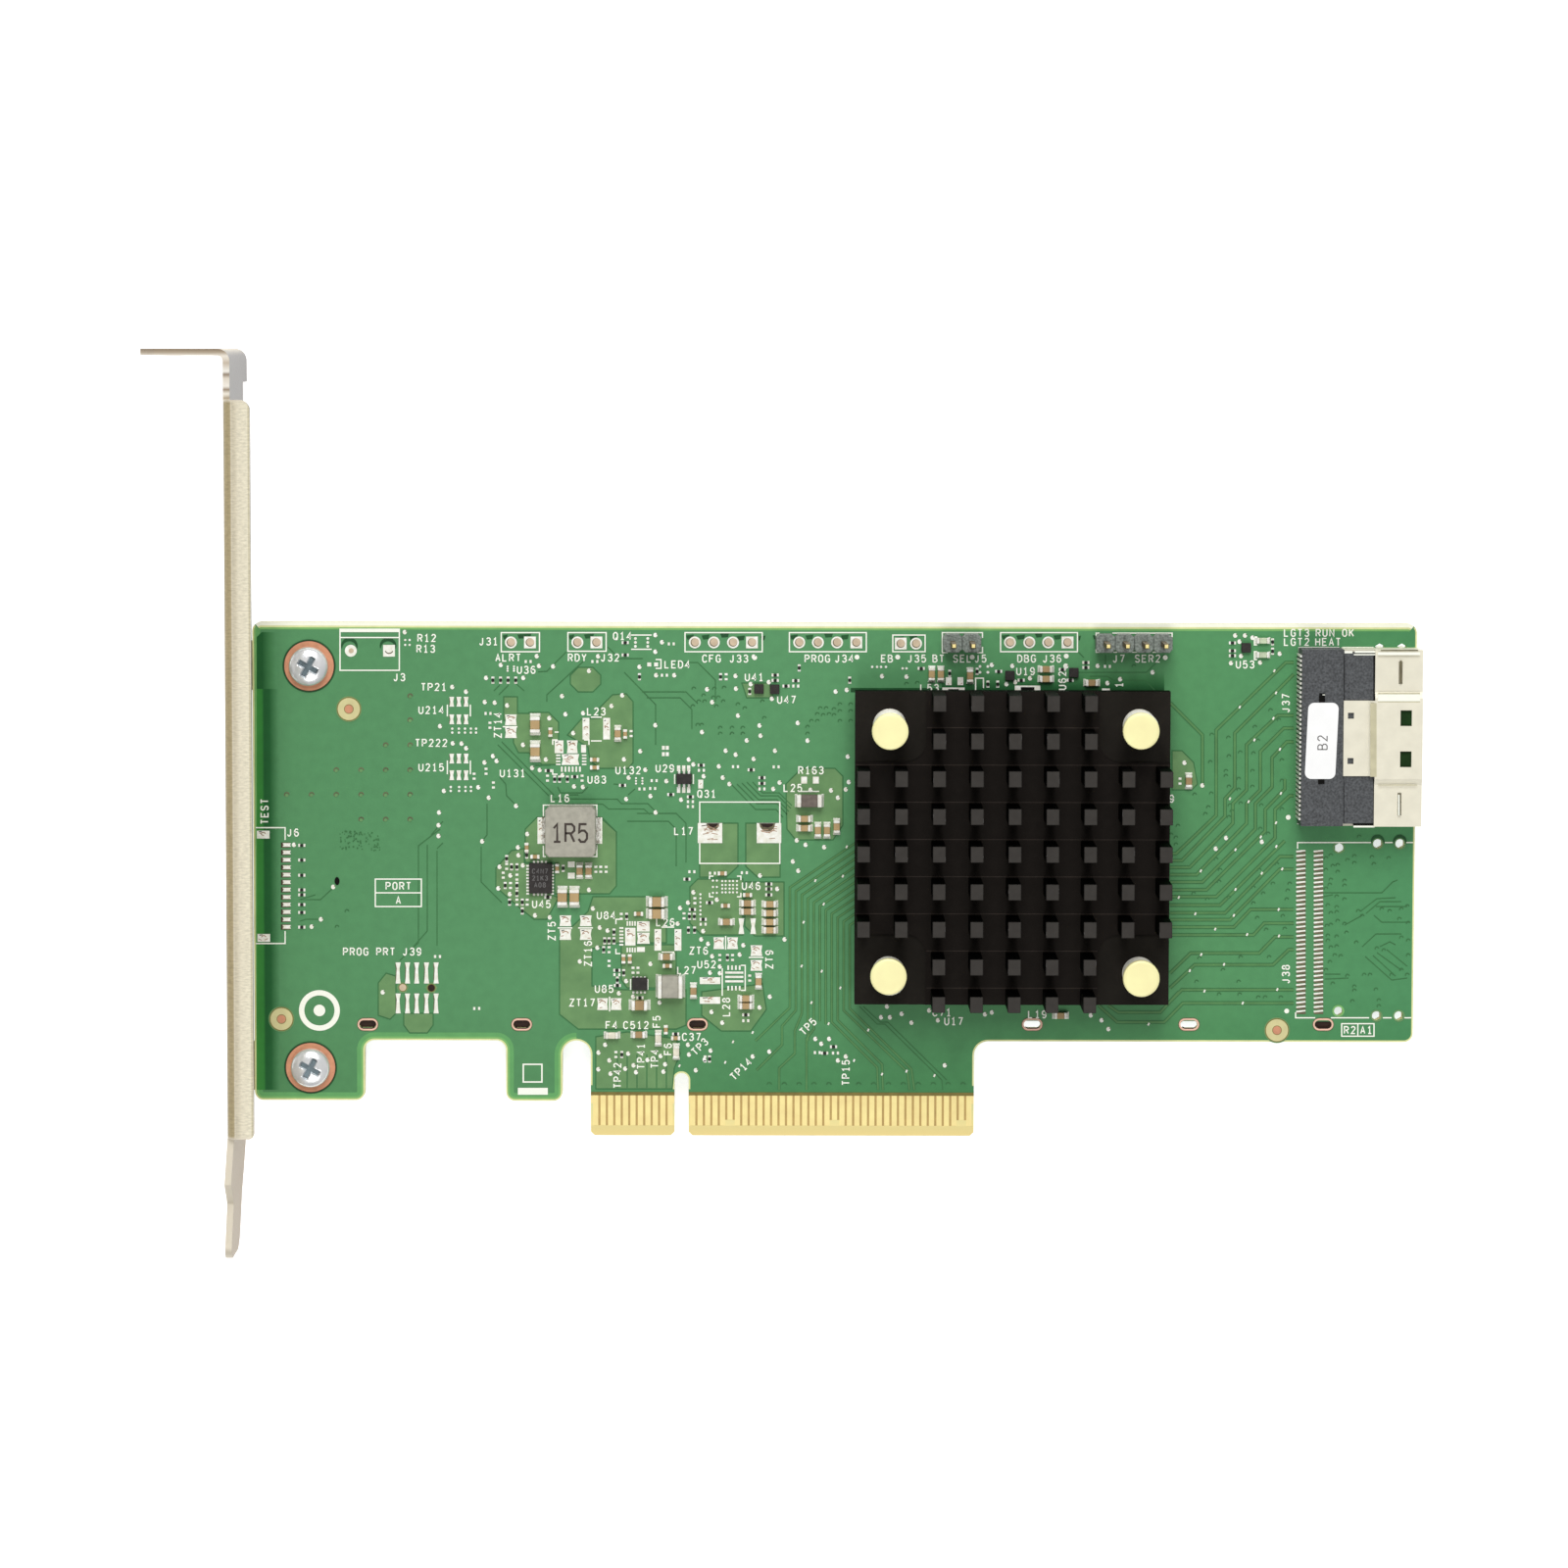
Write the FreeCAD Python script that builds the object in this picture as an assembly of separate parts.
"""Host bus adapter: a low-profile card on a full-height bracket, with a pin-fin heat sink and one cable port.

Frame: millimetres. The origin is the middle of the key notch at the finger edge, on the component face.
+X runs from the bracket to the cable port, +Y from the finger edge to the top edge, +Z out of that face.
"""
import FreeCAD, Part
import math
import os

# Circuit board
BOARD_LENGTH = 155.0
BOARD_HEIGHT = 68.9
BOARD_THICKNESS = 1.57
KEY_TO_BRACKET_END = 57.15
BOARD_CORNER_RADIUS = 1.2
LOWER_EDGE = 12.85
LAYOUT_HEIGHT = 56.05
LAYOUT_LENGTH = 97.85
FOOT_WIDTH = 14.75
FOOT_BOTTOM = 4.75
HOOK_LEFT = -23.5
HOOK_RIGHT = -15.95
HOOK_BOTTOM = 4.7
NOTCH_RADIUS = 1.3
FINGER_BLOCK_RADIUS = 1.9

# Edge fingers
FINGER_PITCH = 1.0
FINGER_WIDTH = 0.7
FINGER_THICKNESS = 0.04
FINGER_LOW = 1.42
FINGER_SHORT_LOW = 2.2
FINGER_TOP = 5.5
FINGERS_BEFORE_KEY = 11
FINGERS_AFTER_KEY = 38
SHORT_FINGERS_FRONT = (17, 31, 48)
SHORT_FINGERS_BACK = (1,)
FINGER_BLOCK_MARGIN = 0.65
FINGER_BLOCK_CHAMFER = 0.5
KEY_WIDTH = 1.9
KEY_TOP = 8.5
BEVEL_HEIGHT = 1.35
BEVEL_ANGLE = 20.0

# Sides of the drilled and turned forms that are many or small
HOLE_SIDES = 6
BORE_SIDES = 12
TURNED_SIDES = 16

# Plated oval slots along the lower edge
OVAL_LENGTH = 2.3
OVAL_WIDTH = 1.05
OVAL_Y = 15.1
OVAL_X = (-42.0, -21.4, 2.1, 46.9, 67.9, 85.85)

# Bracket, folded from sheet
SHEET = 0.86
BRACKET_WIDTH = 18.42
BRACKET_HEIGHT = 120.02
BRACKET_BOTTOM = -14.84
BRACKET_TO_BOARD = 1.14
BEND_RADIUS = 0.4
TAB_BEND_RADIUS = 0.7
FLANGE_DEPTH = 3.55
FLANGE_DROP = 6.6
FLANGE_RISE = 16.82
FLANGE_TOP_RADIUS = 1.4
FLANGE_LOW_RADIUS = 0.7
NECK_NEAR_SETBACK = 1.0
NECK_FAR_SETBACK = 1.5
TAB_LENGTH = 10.94
TAB_OVERHANG = 3.17
TAB_SHOULDER = 4.4
TAB_NOTCH_WIDTH = 4.42
TAB_NOTCH_DEPTH = 5.1
TAB_NOTCH_OFFSET = 5.6
TAB_CHAMFER = 2.0
TONGUE_WIDTH = 10.19
TONGUE_SHOULDER = 6.2
TONGUE_TAPER = 3.0
TONGUE_OFFSET = 0.45
TONGUE_LEAN = 0.4
TONGUE_RADIUS = 2.2
VENT_ACROSS_FLATS = 3.8
VENT_LENGTH = 8.0
VENT_PITCH = 11.0
VENT_COLUMN_PITCH = 4.9
VENT_MARGIN = 8.0
EAR_WIDTH = 6.6
EAR_CHAMFER = 1.6
EAR_BEYOND_SCREW = 4.6

# Screws that hold the board to the bracket
SCREW_FROM_END = 7.5
SCREW_Y = (9.15, 63.0)
SCREW_HEAD_RADIUS = 2.65
SCREW_HEAD_HEIGHT = 1.7
SCREW_HEAD_CHAMFER = 0.45
SCREW_SHANK_RADIUS = 1.45
SCREW_PROJECTION = 0.8
SCREW_HOLE_CLEARANCE = 0.15
SCREW_THREAD_CLEARANCE = 0.03
RECESS_LENGTH = 2.9
RECESS_WIDTH = 0.75
RECESS_DEPTH = 0.9

# Controller package under the heat sink
CONTROLLER_X = 43.92
CONTROLLER_Y = 39.3
SUBSTRATE_SIDE = 29.0
SUBSTRATE_HEIGHT = 1.2
LID_SIDE = 23.0
LID_HEIGHT = 1.0
PAD_SIDE = 21.0
PAD_THICKNESS = 0.2

# Pin-fin heat sink
SINK_SIDE = 41.7
SINK_BASE = 3.0
FIN_COUNT = 9
FIN_CLEAR_CORNER = 2
FIN_PITCH = 4.95
FIN_LENGTH_X = 1.68
FIN_LENGTH_Y = 2.1
FIN_HEIGHT = 7.8
POCKET_SIDE = 9.4
POCKET_DEPTH = 0.3
POCKET_RADIUS = 2.6

# Push pins and springs of the heat sink
PUSH_PIN_SPAN = 32.7
PUSH_PIN_HEAD_RADIUS = 2.45
PUSH_PIN_HEAD = 1.0
PUSH_PIN_SHAFT_RADIUS = 1.2
PUSH_PIN_BARB_RADIUS = 1.8
PUSH_PIN_BARB_LENGTH = 2.1
PUSH_PIN_SLIT = 0.5
PUSH_PIN_CLEARANCE = 0.2
SPRING_LENGTH = 6.7
SPRING_WIRE = 0.5
SPRING_RADIUS = 1.95
SPRING_TURNS = 3.0
SPRING_STEPS = 8
SEAT_CLEARANCE = 0.02

# Cable port at the board's right end
PORT_FROM_TOP = 14.85
PORT_OVERHANG = 0.15
PORT_WIDTH = 23.4
PORT_SHEET = 0.3
SHELL_LENGTH = 6.3
SHELL_SIDE_HEIGHT = 5.55
SHELL_CROWN = 0.35
SHELL_CROWN_WIDTH = 10.7
SHELL_CROWN_SLOPE = 0.8
SHELL_TONGUE_LENGTH = 4.1
SHELL_TONGUE_WIDTH = 10.0
SHELL_FOLD = 0.85
SHELL_ARM_LENGTH = 4.0
SHELL_ARM_HEIGHT = 4.4
WINDOW_LENGTH = 1.5
WINDOW_WIDTH = 2.1
WINDOW_SPACING = 5.45
WINDOW_SETBACK = 2.2
SLIT_LENGTH = 3.0
SLIT_WIDTH = 0.5
SLIT_SPACING = 17.4
SLIT_SETBACK = 2.95
TONGUE_HOLE = 0.8
TONGUE_HOLE_SPACING = 6.0
TONGUE_HOLE_SETBACK = 0.95
HOUSING_LENGTH = 9.6
HOUSING_HEIGHT = 5.2
HOUSING_NOSE = 1.3
HOUSING_STEP = 5.65
HOUSING_STEP_HEIGHT = 0.12
HOUSING_CLEARANCE = 0.05
CARD_SLOT_WALL = 1.05
CARD_SLOT_HEIGHT = 1.1
CARD_SLOT_DEPTH = 3.2
KEY_SLOT_LENGTH = 0.75
KEY_SLOT_WIDTH = 0.9
KEY_SLOT_DEPTH = 0.6
KEY_SLOT_SPACING = 11.0
KEY_SLOT_FROM_REAR = 2.65
PEG_WIDTH = 1.1
PEG_LENGTH = 1.1
PEG_INSET = 0.75
PEG_FROM_REAR = 5.75
PEG_CLEARANCE = 0.07
LUG_WIDTH = 0.8
LUG_PROJECTION = 0.9
LUG_SETBACKS = (2.15, 5.1)
LUG_HOLE = 1.2
CONTACT_COUNT = 37
CONTACT_PITCH = 0.6
CONTACT_WIDTH = 0.28
CONTACT_THICKNESS = 0.22
CONTACT_HEIGHT = 4.6
CONTACT_FOOT = 1.4
LABEL_LENGTH = 10.0
LABEL_WIDTH = 4.1
LABEL_RADIUS = 0.9
LABEL_THICKNESS = 0.08
LABEL_TILT = 2.0
LABEL_FROM_REAR = 2.5
LABEL_OFFSET = 0.5

# Second port place, left empty
EMPTY_PORT_FROM_EDGE = 15.12

# Pin headers along the top edge
HEADER_PITCH = 2.54
HEADER_BASE_HEIGHT = 2.54
HEADER_BASE_DEPTH = 2.5
HEADER_CELL_CHAMFER = 0.4
HEADER_FROM_TOP = 2.55
HEADER_PIN = 0.64
HEADER_PIN_TOP = 8.5
HEADER_PIN_TAIL = 1.3
HEADER_PIN_TAPER = 0.5
HEADER_HOLE = 1.02
HEADER_SOCKET_CLEARANCE = 0.02
TWO_WAY_X = 37.27
FOUR_WAY_X = 60.1

# Coils
POWER_COIL = (-14.72, 41.18)
POWER_COIL_SIDE = 6.7
POWER_COIL_HEIGHT = 3.0
POWER_COIL_CORNER = 0.5
TERMINAL_WIDTH = 3.4
TERMINAL_THICKNESS = 0.25
TERMINAL_REACH = 0.55
TERMINAL_UNDER = 0.9
TERMINAL_HEIGHT = 1.3
FILTER_COIL = (-1.49, 20.27)
FILTER_COIL_SIZE = (3.25, 3.0, 1.9)
FILTER_COIL_END = 0.5
BEAD = (17.05, 45.17)
BEAD_SIZE = (3.3, 1.65, 1.2)
BEAD_END = 0.55

# Chips
CONVERTER_CHIP = (-18.8, 34.74)
CONVERTER_CHIP_SIZE = (3.05, 4.05, 0.9)
SWITCH_CHIP = (-5.58, 20.56)
SWITCH_CHIP_SIZE = (2.05, 1.65, 0.8)
LOGIC_CHIP = (0.34, 48.1)
LOGIC_CHIP_SIZE = (2.05, 1.35, 1.0)
LOGIC_STANDOFF = 0.1
LOGIC_LEAD_PITCH = 0.65
LOGIC_LEAD_WIDTH = 0.3
LOGIC_LEAD_THICKNESS = 0.15
LOGIC_LEAD_REACH = 0.8
LOGIC_LEAD_RISE = 0.45
LOGIC_LEAD_FOOT = 0.45
SMALL_CHIP_SIZE = (1.25, 1.25, 0.6)
SMALL_CHIPS = ((10.3, 60.1), (12.4, 60.05), (43.7, 61.95), (52.2, 62.35), (75.1, 65.7))

# Two-ended chip parts: length, width, height, length of each end
LARGE_CHIP = (2.1, 1.3, 1.2, 0.45)
MEDIUM_CHIP = (1.65, 0.85, 0.8, 0.35)
LED_CHIP = (1.6, 0.8, 0.6, 0.3)

LARGE_UPRIGHT = ((-19.5, 55.3), (-19.5, 51.7), (-15.9, 32.2), (-14.3, 32.2))
LARGE_LEVEL = ((-3.3, 31.6), (-3.3, 30.0), (-5.6, 17.7))
MEDIUM_UPRIGHT = (
    (-8.5, 54.1), (-13.6, 35.7), (-12.4, 35.7), (1.6, 19.6), (10.3, 20.9), (18.2, 41.2), (19.4, 41.2),
    (20.7, 41.7), (67.6, 47.9), (33.3, 62.1), (34.5, 62.1), (38.4, 61.9))
MEDIUM_LEVEL = (
    (8.8, 31.4), (8.8, 30.3), (11.8, 31.3), (11.8, 30.1), (11.8, 28.9), (11.8, 27.8), (-2.0, 24.2),
    (8.6, 18.6), (8.6, 17.6), (6.0, 28.9), (-5.7, 13.7), (16.4, 42.75), (16.4, 41.5), (48.5, 62.8),
    (48.5, 61.5), (54.6, 61.0), (50.7, 16.4))
FUSE_UPRIGHT = ((-3.1, 13.2), (-0.7, 11.4))
FUSE_LEVEL = ((-9.3, 13.6),)
LED_LEVEL = ((77.35, 66.65), (77.35, 64.75))

# Places worked out from the sizes above
board_left = -KEY_TO_BRACKET_END
board_right = board_left + BOARD_LENGTH
board_back = -BOARD_THICKNESS
key_to_finger = FINGER_PITCH * 1.5
block_left = -(key_to_finger + (FINGERS_BEFORE_KEY - 1) * FINGER_PITCH + FINGER_BLOCK_MARGIN)
block_right = key_to_finger + (FINGERS_AFTER_KEY - 1) * FINGER_PITCH + FINGER_BLOCK_MARGIN
plate_inner = board_left - BRACKET_TO_BOARD
plate_outer = plate_inner - SHEET
flange_far = board_back - SHEET
flange_near = flange_far + BRACKET_WIDTH
bracket_top = BRACKET_BOTTOM + BRACKET_HEIGHT
flange_top = bracket_top - FLANGE_DROP
flange_bottom = BRACKET_BOTTOM + FLANGE_RISE
bracket_middle = (flange_near + flange_far) / 2
outer_bend = BEND_RADIUS + SHEET
plate_far_edge = flange_far + outer_bend
screw_x = board_left + SCREW_FROM_END
sink_bottom = SUBSTRATE_HEIGHT + LID_HEIGHT + PAD_THICKNESS
sink_floor = sink_bottom + SINK_BASE
fin_top = sink_floor + FIN_HEIGHT
spring_seat = sink_floor - POCKET_DEPTH
push_pin_bore = 2 * (PUSH_PIN_SHAFT_RADIUS + PUSH_PIN_CLEARANCE)
head_bottom = spring_seat + SPRING_LENGTH + 2 * SEAT_CLEARANCE
port_front = board_right + PORT_OVERHANG
shell_rear = port_front - SHELL_LENGTH
housing_rear = shell_rear - HOUSING_LENGTH
header_y = BOARD_HEIGHT - HEADER_FROM_TOP
layout_x_scale = board_right / LAYOUT_LENGTH
layout_y_scale = (BOARD_HEIGHT - LOWER_EDGE) / LAYOUT_HEIGHT
port_y = BOARD_HEIGHT - PORT_FROM_TOP
empty_port_y = LOWER_EDGE + EMPTY_PORT_FROM_EDGE


def on_board(place):
    """A place on this board, from the same place on a board of the layout's height and length."""
    x, y = place
    if x > 0:
        x = x * layout_x_scale
    return x, LOWER_EDGE + (y - LOWER_EDGE) * layout_y_scale


controller_x, controller_y = on_board((CONTROLLER_X, CONTROLLER_Y))
two_way_x = TWO_WAY_X * layout_x_scale
four_way_x = FOUR_WAY_X * layout_x_scale
screw_places = [on_board((screw_x, y))[1] for y in SCREW_Y]


def vec(x, y, z):
    return FreeCAD.Vector(x, y, z)


def block(x0, x1, y0, y1, z0, z1):
    return Part.makeBox(x1 - x0, y1 - y0, z1 - z0, vec(x0, y0, z0))


def centred_block(x, y, length, width, z0, z1):
    return block(x - length / 2, x + length / 2, y - width / 2, y + width / 2, z0, z1)


def polygon_prism(x, y, across_flats, sides, z0, z1):
    """A regular prism along Z, standing for a small drilled hole or round boss."""
    radius = across_flats / (2 * math.cos(math.pi / sides))
    turn = 2 * math.pi / sides
    angles = [turn * (k + 0.5) for k in range(sides)]
    return plan_prism([(x + radius * math.cos(a), y + radius * math.sin(a), 0) for a in angles], z0, z1)


def turned(x, y, profile, sides):
    """A turned solid in flat facets from (radius, z) points that start and end on the axis."""
    rings = []
    for radius, z in profile[1:-1]:
        angles = [2 * math.pi * (k + 0.5) / sides for k in range(sides)]
        rings.append([vec(x + radius * math.cos(a), y + radius * math.sin(a), z) for a in angles])
    faces = [Part.Face(Part.makePolygon(ring + ring[:1])) for ring in (rings[0], rings[-1])]
    for upper, lower in zip(rings, rings[1:]):
        for k in range(sides):
            j = (k + 1) % sides
            faces.append(Part.Face(Part.makePolygon([upper[k], upper[j], lower[j], lower[k], upper[k]])))
    solid = Part.Solid(Part.Shell(faces))
    if solid.Volume < 0:
        solid.reverse()
    return solid


def fuse(shapes):
    """Joins shapes into one piece with no seams between coplanar faces."""
    whole = shapes[0].fuse(shapes[1:])
    return whole.removeSplitter()


def corner_cut(before, corner, after, radius):
    """The two tangent points and the middle of the arc that rounds a corner."""
    into = (corner - before).normalize()
    out = (after - corner).normalize()
    half = into.getAngle(out) / 2
    reach = radius * math.tan(half)
    first = corner - into * reach
    last = corner + out * reach
    inward = (out - into).normalize()
    middle = corner + inward * (radius / math.cos(half) - radius)
    return first, middle, last


def rounded_face(corners):
    """A flat face from (point, radius) corners, with an arc wherever the radius isn't zero."""
    edges = []
    count = len(corners)
    cuts = []
    for i in range(count):
        point, radius = corners[i]
        if radius:
            cuts.append(corner_cut(corners[i - 1][0], point, corners[(i + 1) % count][0], radius))
        else:
            cuts.append((point, None, point))
    for i in range(count):
        first, middle, last = cuts[i]
        if middle is not None:
            edges.append(Part.Arc(first, middle, last).toShape())
        following = cuts[(i + 1) % count][0]
        if last.distanceToPoint(following) > 1e-6:
            edges.append(Part.LineSegment(last, following).toShape())
    return Part.Face(Part.Wire(edges))


def plan_prism(corners, z0, z1):
    """A prism along Z from (x, y, radius) corners."""
    face = rounded_face([(vec(x, y, z0), r) for x, y, r in corners])
    return face.extrude(vec(0, 0, z1 - z0))


def end_prism(corners, x0, x1):
    """A prism along X from (y, z, radius) corners."""
    face = rounded_face([(vec(x0, y, z), r) for y, z, r in corners])
    return face.extrude(vec(x1 - x0, 0, 0))


def side_prism(corners, y0, y1):
    """A prism along Y from (x, z, radius) corners."""
    face = rounded_face([(vec(x, y0, z), r) for x, z, r in corners])
    return face.extrude(vec(0, y1 - y0, 0))


def rectangle(x, y, length, width, radius):
    """Four (x, y, radius) corners about a centre."""
    a = length / 2
    b = width / 2
    return [(x - a, y - b, radius), (x + a, y - b, radius), (x + a, y + b, radius), (x - a, y + b, radius)]


def finger_x(number):
    """Middle of a finger, counted from the bracket end."""
    if number <= FINGERS_BEFORE_KEY:
        return -key_to_finger - (FINGERS_BEFORE_KEY - number) * FINGER_PITCH
    return key_to_finger + (number - FINGERS_BEFORE_KEY - 1) * FINGER_PITCH


def push_pin_places():
    reach = PUSH_PIN_SPAN / 2
    return [(controller_x + i * reach, controller_y + j * reach) for i in (-1, 1) for j in (-1, 1)]


def header_pin_x(middle, ways):
    return [middle + (i - (ways - 1) / 2) * HEADER_PITCH for i in range(ways)]


def lug_places(centre_y):
    """Middles of a port's four shell lugs."""
    reach = PORT_WIDTH / 2 - PORT_SHEET / 2
    return [(port_front - setback, centre_y + side * reach) for setback in LUG_SETBACKS for side in (-1, 1)]


def peg_places(centre_y):
    reach = PORT_WIDTH / 2 - PEG_INSET
    return [(housing_rear + PEG_FROM_REAR, centre_y + side * reach) for side in (-1, 1)]


def board_outline():
    foot_right = board_left + FOOT_WIDTH
    slot_radius = (block_left - HOOK_RIGHT) / 2
    key = KEY_WIDTH / 2
    r = BOARD_CORNER_RADIUS
    return [
        (board_left, FOOT_BOTTOM, r), (foot_right, FOOT_BOTTOM, r),
        (foot_right, LOWER_EDGE, NOTCH_RADIUS), (HOOK_LEFT, LOWER_EDGE, NOTCH_RADIUS),
        (HOOK_LEFT, HOOK_BOTTOM, r), (HOOK_RIGHT, HOOK_BOTTOM, r),
        (HOOK_RIGHT, LOWER_EDGE, slot_radius), (block_left, LOWER_EDGE, slot_radius),
        (block_left, FINGER_BLOCK_CHAMFER, 0), (block_left + FINGER_BLOCK_CHAMFER, 0, 0),
        (-key - FINGER_BLOCK_CHAMFER, 0, 0), (-key, FINGER_BLOCK_CHAMFER, 0),
        (-key, KEY_TOP, key), (key, KEY_TOP, key),
        (key, FINGER_BLOCK_CHAMFER, 0), (key + FINGER_BLOCK_CHAMFER, 0, 0),
        (block_right - FINGER_BLOCK_CHAMFER, 0, 0), (block_right, FINGER_BLOCK_CHAMFER, 0),
        (block_right, LOWER_EDGE, FINGER_BLOCK_RADIUS), (board_right, LOWER_EDGE, r),
        (board_right, BOARD_HEIGHT, r), (board_left, BOARD_HEIGHT, r)]


def finger_bevels():
    """The two wedges that sharpen the finger edge."""
    depth = BEVEL_HEIGHT * math.tan(math.radians(BEVEL_ANGLE))
    front = end_prism([(0, 0, 0), (BEVEL_HEIGHT, 0, 0), (0, -depth, 0)], block_left, block_right)
    back_corners = [(0, board_back, 0), (0, board_back + depth, 0), (BEVEL_HEIGHT, board_back, 0)]
    back = end_prism(back_corners, block_left, block_right)
    return [front, back]


def oval_slot(x, y):
    """A slot with faceted round ends."""
    half = OVAL_LENGTH / 2
    side = OVAL_WIDTH / 2
    cut = side * (2 - math.sqrt(2))
    corner = [(half, side - cut), (half - cut, side)]
    quarter_turns = [(1, 1), (-1, 1), (-1, -1), (1, -1)]
    points = []
    for index, (i, j) in enumerate(quarter_turns):
        pair = corner if index % 2 == 0 else corner[::-1]
        points += [(x + i * a, y + j * b, 0) for a, b in pair]
    return plan_prism(points, board_back, 0)


def circuit_board():
    board = plan_prism(board_outline(), board_back, 0)
    screw_hole = 2 * (SCREW_SHANK_RADIUS + SCREW_HOLE_CLEARANCE)
    drilled = [(screw_x, y, screw_hole, BORE_SIDES) for y in screw_places]
    drilled += [(x, y, push_pin_bore, BORE_SIDES) for x, y in push_pin_places()]
    for x in header_pin_x(two_way_x, 2) + header_pin_x(four_way_x, 4):
        drilled.append((x, header_y, HEADER_HOLE, HOLE_SIDES))
    for centre_y in (port_y, empty_port_y):
        drilled += [(x, y, LUG_HOLE, HOLE_SIDES) for x, y in lug_places(centre_y)]
        drilled += [(x, y, PEG_WIDTH + 2 * PEG_CLEARANCE, HOLE_SIDES) for x, y in peg_places(centre_y)]
    holes = [polygon_prism(x, y, width, sides, board_back, 0) for x, y, width, sides in drilled]
    holes += [oval_slot(*on_board((x, OVAL_Y))) for x in OVAL_X]
    return board.cut(holes + finger_bevels())


def edge_fingers(short, z0, z1):
    """One row of contact fingers on a face of the board."""
    fingers = []
    for number in range(1, FINGERS_BEFORE_KEY + FINGERS_AFTER_KEY + 1):
        low = FINGER_SHORT_LOW if number in short else FINGER_LOW
        x = finger_x(number)
        fingers.append(block(x - FINGER_WIDTH / 2, x + FINGER_WIDTH / 2, low, FINGER_TOP, z0, z1))
    return fingers


def bracket_channel():
    """The flat face of the bracket and its long near flange, bent as one."""
    edge = plate_outer + FLANGE_DEPTH
    section = [
        (plate_outer, plate_far_edge, 0), (plate_inner, plate_far_edge, 0),
        (plate_inner, flange_near - SHEET, BEND_RADIUS), (edge, flange_near - SHEET, 0),
        (edge, flange_near, 0), (plate_outer, flange_near, outer_bend)]
    outline = [
        (plate_outer, flange_bottom, 0), (edge, flange_bottom, FLANGE_LOW_RADIUS),
        (edge, flange_top, FLANGE_TOP_RADIUS), (plate_outer, flange_top, 0)]
    sheet = side_prism(section, flange_bottom, flange_top)
    return sheet.common(plan_prism(outline, plate_far_edge, flange_near))


def bracket_tab_and_neck():
    """The top tab with its bend, and the neck that joins it to the channel."""
    neck_near = flange_near - NECK_NEAR_SETBACK
    neck_far = flange_far + NECK_FAR_SETBACK
    tab_far = flange_far - TAB_OVERHANG
    tip = plate_outer - TAB_LENGTH
    profile = [
        (plate_inner, flange_top, 0), (plate_inner, bracket_top, TAB_BEND_RADIUS + SHEET),
        (tip, bracket_top, 0), (tip, bracket_top - SHEET, 0),
        (plate_outer, bracket_top - SHEET, TAB_BEND_RADIUS), (plate_outer, flange_top, 0)]
    sheet = plan_prism(profile, tab_far, neck_near)
    below_shoulder = block(
        plate_outer - SHEET, plate_inner + SHEET, flange_top, bracket_top - TAB_SHOULDER, tab_far, neck_far)
    notch_x = plate_outer - TAB_NOTCH_OFFSET
    half = TAB_NOTCH_WIDTH / 2
    notch_corners = [
        (notch_x - half, tab_far - half, 0), (notch_x + half, tab_far - half, 0),
        (notch_x + half, tab_far + TAB_NOTCH_DEPTH, half), (notch_x - half, tab_far + TAB_NOTCH_DEPTH, half)]
    notch = side_prism(notch_corners, bracket_top - SHEET, bracket_top)
    chamfers = []
    for z, inward in ((tab_far, 1), (neck_near, -1)):
        chamfers.append(side_prism(
            [(tip, z, 0), (tip + TAB_CHAMFER, z, 0), (tip, z + inward * TAB_CHAMFER, 0)],
            bracket_top - SHEET, bracket_top))
    return sheet.cut([below_shoulder, notch] + chamfers)


def bracket_tongue():
    """The lower tongue, set outwards by a shallow joggle and narrowed to its tip."""
    shoulder = flange_bottom - TONGUE_SHOULDER
    narrow = shoulder - TONGUE_TAPER
    neck_near = flange_near - NECK_NEAR_SETBACK
    neck_far = flange_far + NECK_FAR_SETBACK
    half = TONGUE_WIDTH / 2
    profile = [
        (plate_outer, flange_bottom, 0), (plate_inner, flange_bottom, 0),
        (plate_inner - TONGUE_OFFSET, shoulder, 0), (plate_inner - TONGUE_OFFSET, narrow, 0),
        (plate_inner - TONGUE_OFFSET - TONGUE_LEAN, BRACKET_BOTTOM, 0),
        (plate_outer - TONGUE_OFFSET - TONGUE_LEAN, BRACKET_BOTTOM, 0),
        (plate_outer - TONGUE_OFFSET, narrow, 0), (plate_outer - TONGUE_OFFSET, shoulder, 0)]
    strip = plan_prism(profile, neck_far, neck_near)
    face_outline = [
        (flange_bottom, neck_far, 0), (flange_bottom, neck_near, 0), (shoulder, neck_near, 0),
        (narrow, bracket_middle + half, 0), (BRACKET_BOTTOM, bracket_middle + half, TONGUE_RADIUS),
        (BRACKET_BOTTOM, bracket_middle - half, TONGUE_RADIUS), (narrow, bracket_middle - half, 0),
        (shoulder, neck_far, 0)]
    outline = end_prism(face_outline, plate_outer - TONGUE_OFFSET - TONGUE_LEAN, plate_inner)
    return strip.common(outline)


def bracket_ears():
    """Lugs bent from the plate's far edge, which reach behind the board and take the screws."""
    tip = screw_x + EAR_BEYOND_SCREW
    section = [
        (plate_outer, plate_far_edge, 0), (plate_outer, flange_far, outer_bend), (tip, flange_far, 0),
        (tip, board_back, 0), (plate_inner, board_back, BEND_RADIUS), (plate_inner, plate_far_edge, 0)]
    ears = []
    for y in screw_places:
        low = y - EAR_WIDTH / 2
        high = y + EAR_WIDTH / 2
        outline = [
            (plate_outer, low, 0), (tip - EAR_CHAMFER, low, 0), (tip, low + EAR_CHAMFER, 0),
            (tip, high - EAR_CHAMFER, 0), (tip - EAR_CHAMFER, high, 0), (plate_outer, high, 0)]
        lug = side_prism(section, low, high)
        ears.append(lug.common(plan_prism(outline, flange_far, plate_far_edge)))
    return ears


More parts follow.
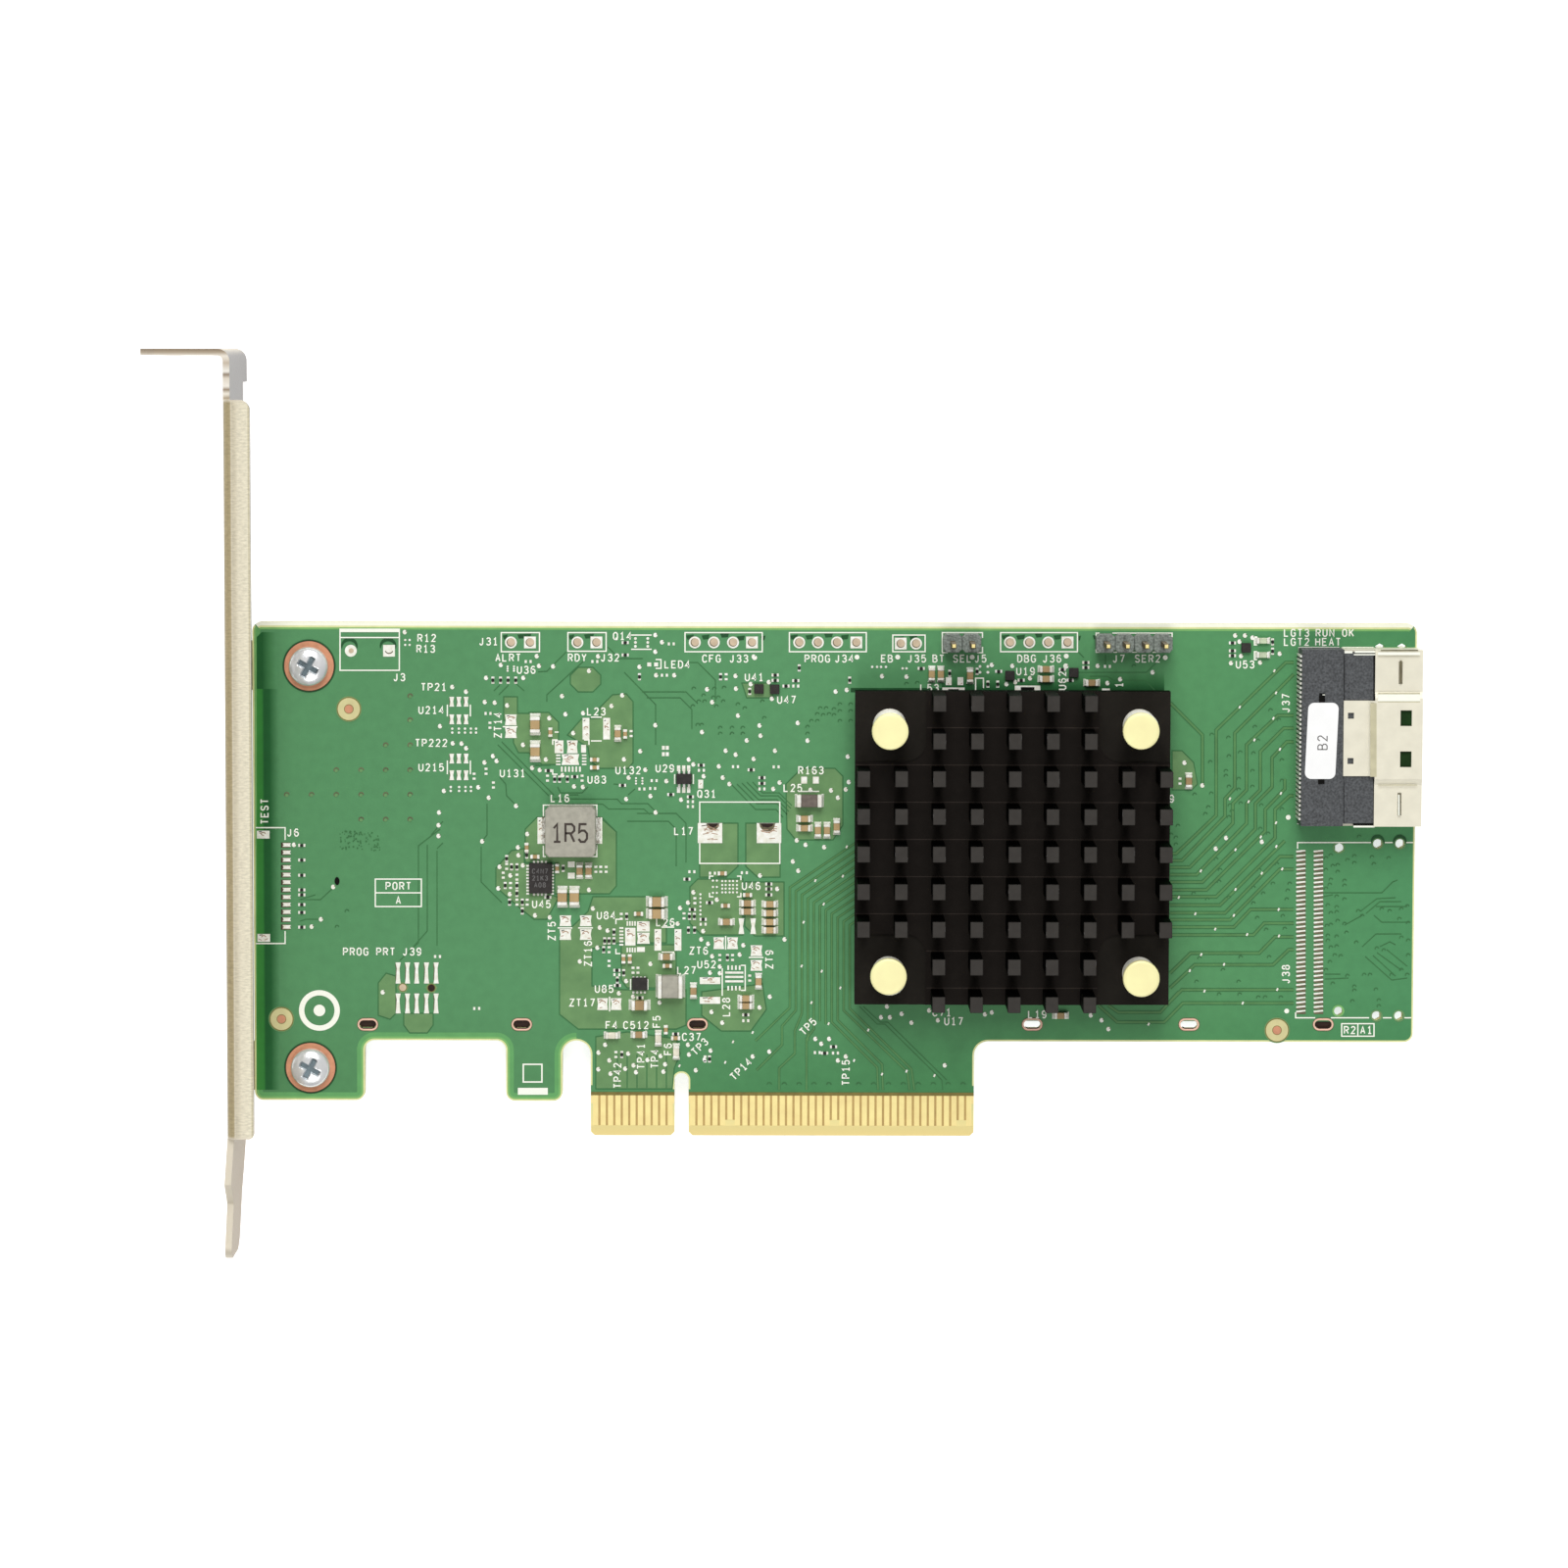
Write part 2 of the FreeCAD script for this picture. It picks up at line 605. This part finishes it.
def vent_holes():
    """Long hexagonal vents in three staggered columns."""
    side = VENT_ACROSS_FLATS / 2
    half = VENT_LENGTH / 2
    shoulder = half - side / math.sqrt(3)
    upper = [(half, 0), (shoulder, side), (-shoulder, side)]
    outline = upper + [(-a, -b) for a, b in upper]
    rows = int((flange_top - flange_bottom - 2 * VENT_MARGIN) / VENT_PITCH)
    start = (flange_top + flange_bottom) / 2 - rows * VENT_PITCH / 2
    holes = []
    for column in (-1, 0, 1):
        stagger = 0.5 if column == 0 else 0.0
        count = rows if column == 0 else rows + 1
        z = bracket_middle + column * VENT_COLUMN_PITCH
        for row in range(count):
            y = start + (row + stagger) * VENT_PITCH
            holes.append(end_prism([(y + a, z + b, 0) for a, b in outline], plate_outer, plate_inner))
    return holes


def bracket():
    sheet = fuse([bracket_channel(), bracket_tab_and_neck(), bracket_tongue()] + bracket_ears())
    thread = SCREW_SHANK_RADIUS + SCREW_THREAD_CLEARANCE
    screw_holes = [
        polygon_prism(screw_x, y, 2 * thread, BORE_SIDES, flange_far, board_back)
        for y in screw_places]
    return sheet.cut(vent_holes() + screw_holes)


def bracket_screw(y):
    """A pan-head screw with a cross recess, through the board into the bracket's ear."""
    tip = flange_far - SCREW_PROJECTION
    r = SCREW_HEAD_RADIUS
    top = SCREW_HEAD_HEIGHT
    cut = SCREW_HEAD_CHAMFER
    shank = SCREW_SHANK_RADIUS
    profile = [(0, top), (r - 2 * cut, top), (r, top - cut), (r, 0), (shank, 0), (shank, tip), (0, tip)]
    screw = turned(screw_x, y, profile, TURNED_SIDES)
    floor = top - RECESS_DEPTH
    bar = centred_block(screw_x, y, RECESS_LENGTH, RECESS_WIDTH, floor, top)
    cross_bar = centred_block(screw_x, y, RECESS_WIDTH, RECESS_LENGTH, floor, top)
    return screw.cut(fuse([bar, cross_bar]))


def fin_places():
    """Middles of the fins: a square grid with the push pins' corners left clear."""
    edge = FIN_CLEAR_CORNER
    places = []
    for i in range(FIN_COUNT):
        for j in range(FIN_COUNT):
            outer_i = i < edge or i >= FIN_COUNT - edge
            outer_j = j < edge or j >= FIN_COUNT - edge
            if outer_i and outer_j:
                continue
            middle = (FIN_COUNT - 1) / 2
            places.append((controller_x + (i - middle) * FIN_PITCH, controller_y + (j - middle) * FIN_PITCH))
    return places


def heat_sink():
    base = centred_block(controller_x, controller_y, SINK_SIDE, SINK_SIDE, sink_bottom, sink_floor)
    pockets = []
    half = SINK_SIDE / 2
    for i in (-1, 1):
        for j in (-1, 1):
            x0 = controller_x + i * half
            y0 = controller_y + j * half
            x1 = x0 - i * POCKET_SIDE
            y1 = y0 - j * POCKET_SIDE
            corners = [(x0, y0, 0), (x1, y0, 0), (x1, y1, POCKET_RADIUS), (x0, y1, 0)]
            pockets.append(plan_prism(corners, spring_seat, sink_floor))
    bores = [
        polygon_prism(x, y, push_pin_bore, BORE_SIDES, sink_bottom, sink_floor) for x, y in push_pin_places()]
    base = base.cut(pockets + bores)
    fins = [centred_block(x, y, FIN_LENGTH_X, FIN_LENGTH_Y, sink_floor, fin_top) for x, y in fin_places()]
    return fuse([base] + fins)


def push_pin(x, y):
    """A headed pin with a slit barb that snaps in behind the board."""
    head_top = head_bottom + PUSH_PIN_HEAD
    shoulder = board_back - SEAT_CLEARANCE
    tip = shoulder - PUSH_PIN_BARB_LENGTH
    head = PUSH_PIN_HEAD_RADIUS
    shaft = PUSH_PIN_SHAFT_RADIUS
    profile = [
        (0, head_top), (head, head_top), (head, head_bottom), (shaft, head_bottom), (shaft, shoulder),
        (PUSH_PIN_BARB_RADIUS, shoulder), (shaft / 2, tip), (0, tip)]
    slit = centred_block(x, y, PUSH_PIN_SLIT, 2 * PUSH_PIN_BARB_RADIUS, tip, shoulder)
    return turned(x, y, profile, TURNED_SIDES).cut(slit)


def push_pin_spring(x, y):
    """A coil spring of square wire, wound in straight steps."""
    half = SPRING_WIRE / 2
    start = spring_seat + SEAT_CLEARANCE + half
    rise = SPRING_LENGTH - SPRING_WIRE
    steps = int(SPRING_TURNS * SPRING_STEPS)
    rings = []
    for k in range(steps + 1):
        angle = 2 * math.pi * k / SPRING_STEPS
        z = start + rise * k / steps
        ring = []
        for a, b in ((-half, -half), (half, -half), (half, half), (-half, half)):
            radius = SPRING_RADIUS + a
            ring.append(vec(x + radius * math.cos(angle), y + radius * math.sin(angle), z + b))
        rings.append(ring)
    faces = [Part.Face(Part.makePolygon(rings[0][::-1] + rings[0][-1:]))]
    for lower, upper in zip(rings, rings[1:]):
        for i in range(4):
            j = (i + 1) % 4
            for triangle in ((lower[i], lower[j], upper[j]), (lower[i], upper[j], upper[i])):
                faces.append(Part.Face(Part.makePolygon(list(triangle) + [triangle[0]])))
    faces.append(Part.Face(Part.makePolygon(rings[-1] + rings[-1][:1])))
    spring = Part.Solid(Part.Shell(faces))
    if spring.Volume < 0:
        spring.reverse()
    return spring


def shell_section(inset):
    """(y, z, radius) corners of the shell's raised-crown section, moved inwards by a sheet thickness."""
    half = PORT_WIDTH / 2 - inset
    crown = SHELL_CROWN_WIDTH / 2
    slope = crown + SHELL_CROWN_SLOPE
    low = SHELL_SIDE_HEIGHT - inset
    high = low + SHELL_CROWN
    right = [(half, inset), (half, low), (slope, low), (crown, high)]
    outline = right + [(-y, z) for y, z in reversed(right)]
    return [(port_y + y, z, 0) for y, z in outline]


def port_shell():
    crown_top = SHELL_SIDE_HEIGHT + SHELL_CROWN
    tube = end_prism(shell_section(0), shell_rear, port_front)
    hollow = end_prism(shell_section(PORT_SHEET), shell_rear, port_front)
    tube = tube.cut(hollow)
    side = PORT_WIDTH / 2
    tongue_rear = shell_rear - SHELL_TONGUE_LENGTH
    tongue_top = HOUSING_HEIGHT + PORT_SHEET
    fold_profile = [
        (shell_rear, crown_top, 0), (shell_rear - SHELL_FOLD, tongue_top, 0), (tongue_rear, tongue_top, 0),
        (tongue_rear, HOUSING_HEIGHT, 0), (shell_rear - SHELL_FOLD, HOUSING_HEIGHT, 0),
        (shell_rear, crown_top - PORT_SHEET, 0)]
    tongue = side_prism(
        fold_profile, port_y - SHELL_TONGUE_WIDTH / 2, port_y + SHELL_TONGUE_WIDTH / 2)
    pieces = [tube, tongue]
    for sign in (-1, 1):
        outer = port_y + sign * side
        inner = outer - sign * PORT_SHEET
        low, high = sorted((outer, inner))
        pieces.append(block(shell_rear - SHELL_ARM_LENGTH, shell_rear, low, high, 0, SHELL_ARM_HEIGHT))
        for setback in LUG_SETBACKS:
            x = port_front - setback
            pieces.append(block(
                x - LUG_WIDTH / 2, x + LUG_WIDTH / 2, low, high, board_back - LUG_PROJECTION, PORT_SHEET))
    shell = fuse(pieces)
    cuts = []
    for sign in (-1, 1):
        window_y = port_y + sign * WINDOW_SPACING / 2
        cuts.append(centred_block(
            port_front - WINDOW_SETBACK, window_y, WINDOW_LENGTH, WINDOW_WIDTH,
            crown_top - PORT_SHEET, crown_top))
        slit_y = port_y + sign * SLIT_SPACING / 2
        cuts.append(centred_block(
            port_front - SLIT_SETBACK, slit_y, SLIT_WIDTH, SLIT_LENGTH,
            SHELL_SIDE_HEIGHT - PORT_SHEET, SHELL_SIDE_HEIGHT))
        hole_y = port_y + sign * TONGUE_HOLE_SPACING / 2
        cuts.append(centred_block(
            tongue_rear + TONGUE_HOLE_SETBACK, hole_y, TONGUE_HOLE, TONGUE_HOLE, HOUSING_HEIGHT, tongue_top))
    return shell.cut(cuts)


def port_housing():
    """The moulded body: a stepped block with a nose inside the shell and a slot for the cable's card."""
    half = PORT_WIDTH / 2
    inner = half - PORT_SHEET - HOUSING_CLEARANCE
    arm_start = shell_rear - SHELL_ARM_LENGTH - HOUSING_CLEARANCE
    step_x = housing_rear + HOUSING_STEP
    rear = block(housing_rear, arm_start, port_y - half, port_y + half, 0, HOUSING_HEIGHT)
    front = block(arm_start, shell_rear, port_y - inner, port_y + inner, 0, HOUSING_HEIGHT)
    nose_top = SHELL_SIDE_HEIGHT - PORT_SHEET - HOUSING_CLEARANCE
    nose = block(
        shell_rear, shell_rear + HOUSING_NOSE, port_y - inner, port_y + inner,
        PORT_SHEET + HOUSING_CLEARANCE, nose_top)
    pegs = [polygon_prism(x, y, PEG_WIDTH, HOLE_SIDES, -PEG_LENGTH, 0) for x, y in peg_places(port_y)]
    body = fuse([rear, front, nose] + pegs)
    foot_room = block(
        housing_rear, housing_rear + CONTACT_FOOT, port_y - half, port_y + half,
        0, CONTACT_THICKNESS + HOUSING_CLEARANCE)
    lowered = block(
        housing_rear, step_x, port_y - half, port_y + half,
        HOUSING_HEIGHT - HOUSING_STEP_HEIGHT, HOUSING_HEIGHT)
    face = shell_rear + HOUSING_NOSE
    slot_z = (nose_top + PORT_SHEET) / 2
    slot = centred_block(
        face - CARD_SLOT_DEPTH / 2, port_y, CARD_SLOT_DEPTH, 2 * (inner - CARD_SLOT_WALL),
        slot_z - CARD_SLOT_HEIGHT / 2, slot_z + CARD_SLOT_HEIGHT / 2)
    cuts = [foot_room, lowered, slot]
    for sign in (-1, 1):
        cuts.append(centred_block(
            housing_rear + KEY_SLOT_FROM_REAR, port_y + sign * KEY_SLOT_SPACING / 2,
            KEY_SLOT_LENGTH, KEY_SLOT_WIDTH, HOUSING_HEIGHT - KEY_SLOT_DEPTH, HOUSING_HEIGHT))
    return body.cut(cuts)


def port_contacts():
    """Contact tails down the housing's rear face, with feet on the board."""
    outer = housing_rear - CONTACT_THICKNESS
    inner = housing_rear
    foot = housing_rear + CONTACT_FOOT - HOUSING_CLEARANCE
    thick = CONTACT_THICKNESS
    contacts = []
    for i in range(CONTACT_COUNT):
        y = port_y + (i - (CONTACT_COUNT - 1) / 2) * CONTACT_PITCH - CONTACT_WIDTH / 2
        profile = [
            (outer, 0, 0), (foot, 0, 0), (foot, thick, 0), (inner, thick, 0),
            (inner, CONTACT_HEIGHT, 0), (outer, CONTACT_HEIGHT, 0)]
        contacts.append(side_prism(profile, y, y + CONTACT_WIDTH))
    return contacts


def port_label():
    """A plain label on the housing, a little askew."""
    top = HOUSING_HEIGHT - HOUSING_STEP_HEIGHT
    x = housing_rear + LABEL_FROM_REAR
    y = port_y - LABEL_OFFSET
    corners = rectangle(x, y, LABEL_WIDTH, LABEL_LENGTH, LABEL_RADIUS)
    label = plan_prism(corners, top, top + LABEL_THICKNESS)
    label.rotate(vec(x, y, 0), vec(0, 0, 1), -LABEL_TILT)
    return label


def header_base(middle, ways):
    """A moulded header body with a V groove between its cells."""
    start = middle - ways * HEADER_PITCH / 2
    half = HEADER_BASE_DEPTH / 2
    cut = HEADER_CELL_CHAMFER
    lower = []
    for i in range(ways):
        x = start + i * HEADER_PITCH
        lower.append((x, header_y - half + cut, 0))
        lower.append((x + cut, header_y - half, 0))
        lower.append((x + HEADER_PITCH - cut, header_y - half, 0))
    lower.append((start + ways * HEADER_PITCH, header_y - half + cut, 0))
    upper = [(x, 2 * header_y - y, r) for x, y, r in reversed(lower)]
    base = plan_prism(lower + upper, 0, HEADER_BASE_HEIGHT)
    socket = HEADER_PIN + 2 * HEADER_SOCKET_CLEARANCE
    places = header_pin_x(middle, ways)
    return base.cut([centred_block(x, header_y, socket, socket, 0, HEADER_BASE_HEIGHT) for x in places])


def header_pins(middle, ways):
    """Square posts with tapered tips, through the base and the board."""
    corner = HEADER_PIN / math.sqrt(2)
    top = HEADER_PIN_TOP
    straight = top - HEADER_PIN_TAPER
    tail = board_back - HEADER_PIN_TAIL
    profile = [(0, top), (corner / 2, top), (corner, straight), (corner, tail), (0, tail)]
    return [turned(x, header_y, profile, 4) for x in header_pin_x(middle, ways)]


def power_coil_core():
    x, y = on_board(POWER_COIL)
    corners = rectangle(x, y, POWER_COIL_SIDE, POWER_COIL_SIDE, POWER_COIL_CORNER)
    return plan_prism(corners, TERMINAL_THICKNESS, TERMINAL_THICKNESS + POWER_COIL_HEIGHT)


def power_coil_terminals():
    """Strip terminals that come out of the core's sides and fold under it."""
    x, y = on_board(POWER_COIL)
    half = POWER_COIL_SIDE / 2
    thick = TERMINAL_THICKNESS
    terminals = []
    for sign in (-1, 1):
        side = x + sign * half
        profile = [
            (side + sign * TERMINAL_REACH, 0, 0), (side - sign * TERMINAL_UNDER, 0, 0),
            (side - sign * TERMINAL_UNDER, thick, 0), (side, thick, 0), (side, TERMINAL_HEIGHT, 0),
            (side + sign * thick, TERMINAL_HEIGHT, 0), (side + sign * thick, thick, 0),
            (side + sign * TERMINAL_REACH, thick, 0)]
        terminals.append(side_prism(profile, y - TERMINAL_WIDTH / 2, y + TERMINAL_WIDTH / 2))
    return terminals


def two_ended(place, size, upright):
    """A chip part: its body and its two metal ends, lying along X or upright in the picture along Y."""
    x, y = on_board(place)
    length, width, height, end = size
    half = length / 2
    side = width / 2
    spans = ((-half + end, half - end), (-half, -half + end), (half - end, half))
    blocks = []
    for low, high in spans:
        if upright:
            blocks.append(block(x - side, x + side, y + low, y + high, 0, height))
        else:
            blocks.append(block(x + low, x + high, y - side, y + side, 0, height))
    return blocks[0], blocks[1:]


def chip_row(size, upright_places, level_places):
    """Bodies and ends of a family of chip parts."""
    bodies = []
    ends = []
    for places, upright in ((upright_places, True), (level_places, False)):
        for place in places:
            body, pair = two_ended(place, size, upright)
            bodies.append(body)
            ends += pair
    return bodies, ends


def flat_chip(place, size):
    x, y = on_board(place)
    length, width, height = size
    return centred_block(x, y, length, width, 0, height)


def logic_chip():
    x, y = on_board(LOGIC_CHIP)
    length, width, height = LOGIC_CHIP_SIZE
    return centred_block(x, y, length, width, LOGIC_STANDOFF, LOGIC_STANDOFF + height)


def logic_chip_leads():
    """Six folded leads, three on each side."""
    x, y = on_board(LOGIC_CHIP)
    thick = LOGIC_LEAD_THICKNESS
    rise = LOGIC_LEAD_RISE
    leads = []
    for sign in (-1, 1):
        side = y + sign * LOGIC_CHIP_SIZE[1] / 2
        toe = side + sign * LOGIC_LEAD_REACH
        heel = toe - sign * LOGIC_LEAD_FOOT
        for column in (-1, 0, 1):
            left = x + column * LOGIC_LEAD_PITCH - LOGIC_LEAD_WIDTH / 2
            profile = [
                (toe, 0, 0), (toe, thick, 0), (heel, thick, 0), (heel, rise + thick, 0),
                (side, rise + thick, 0), (side, rise, 0),
                (heel - sign * thick, rise, 0), (heel - sign * thick, 0, 0)]
            leads.append(end_prism(profile, left, left + LOGIC_LEAD_WIDTH))
    return leads


def write(node, shapes):
    """Writes one node, a single solid or a group of like ones."""
    shape = shapes[0] if len(shapes) == 1 else Part.makeCompound(shapes)
    shape.exportStep("parts/" + node + ".step")


def main():
    os.makedirs("parts", exist_ok=True)
    large, large_ends = chip_row(LARGE_CHIP, LARGE_UPRIGHT, LARGE_LEVEL)
    medium, medium_ends = chip_row(MEDIUM_CHIP, MEDIUM_UPRIGHT, MEDIUM_LEVEL)
    fuses, fuse_ends = chip_row(MEDIUM_CHIP, FUSE_UPRIGHT, FUSE_LEVEL)
    leds, led_ends = chip_row(LED_CHIP, (), LED_LEVEL)
    filter_core, filter_ends = two_ended(FILTER_COIL, FILTER_COIL_SIZE + (FILTER_COIL_END,), False)
    bead_core, bead_ends = two_ended(BEAD, BEAD_SIZE + (BEAD_END,), False)
    lid_low = SUBSTRATE_HEIGHT
    pad_low = lid_low + LID_HEIGHT
    nodes = {
        "circuit_board": [circuit_board()],
        "edge_fingers_front": edge_fingers(SHORT_FINGERS_FRONT, 0, FINGER_THICKNESS),
        "edge_fingers_back": edge_fingers(SHORT_FINGERS_BACK, board_back - FINGER_THICKNESS, board_back),
        "bracket": [bracket()],
        "bracket_screws": [bracket_screw(y) for y in screw_places],
        "controller_substrate": [centred_block(
            controller_x, controller_y, SUBSTRATE_SIDE, SUBSTRATE_SIDE, 0, SUBSTRATE_HEIGHT)],
        "controller_lid": [centred_block(controller_x, controller_y, LID_SIDE, LID_SIDE, lid_low, pad_low)],
        "thermal_pad": [centred_block(
            controller_x, controller_y, PAD_SIDE, PAD_SIDE, pad_low, pad_low + PAD_THICKNESS)],
        "heat_sink": [heat_sink()],
        "push_pins": [push_pin(x, y) for x, y in push_pin_places()],
        "push_pin_springs": [push_pin_spring(x, y) for x, y in push_pin_places()],
        "port_housing": [port_housing()],
        "port_shell": [port_shell()],
        "port_contacts": port_contacts(),
        "port_label": [port_label()],
        "two_way_header_base": [header_base(two_way_x, 2)],
        "two_way_header_pins": header_pins(two_way_x, 2),
        "four_way_header_base": [header_base(four_way_x, 4)],
        "four_way_header_pins": header_pins(four_way_x, 4),
        "power_coil_core": [power_coil_core()],
        "power_coil_terminals": power_coil_terminals(),
        "filter_coil_core": [filter_core],
        "filter_coil_ends": filter_ends,
        "bead_core": [bead_core],
        "bead_ends": bead_ends,
        "converter_chip": [flat_chip(CONVERTER_CHIP, CONVERTER_CHIP_SIZE)],
        "switch_chip": [flat_chip(SWITCH_CHIP, SWITCH_CHIP_SIZE)],
        "logic_chip": [logic_chip()],
        "logic_chip_leads": logic_chip_leads(),
        "small_chips": [flat_chip(place, SMALL_CHIP_SIZE) for place in SMALL_CHIPS],
        "large_capacitors": large,
        "large_capacitor_ends": large_ends,
        "medium_capacitors": medium,
        "medium_capacitor_ends": medium_ends,
        "fuses": fuses,
        "fuse_ends": fuse_ends,
        "leds": leds,
        "led_ends": led_ends,
    }
    for node, shapes in nodes.items():
        write(node, shapes)


main()
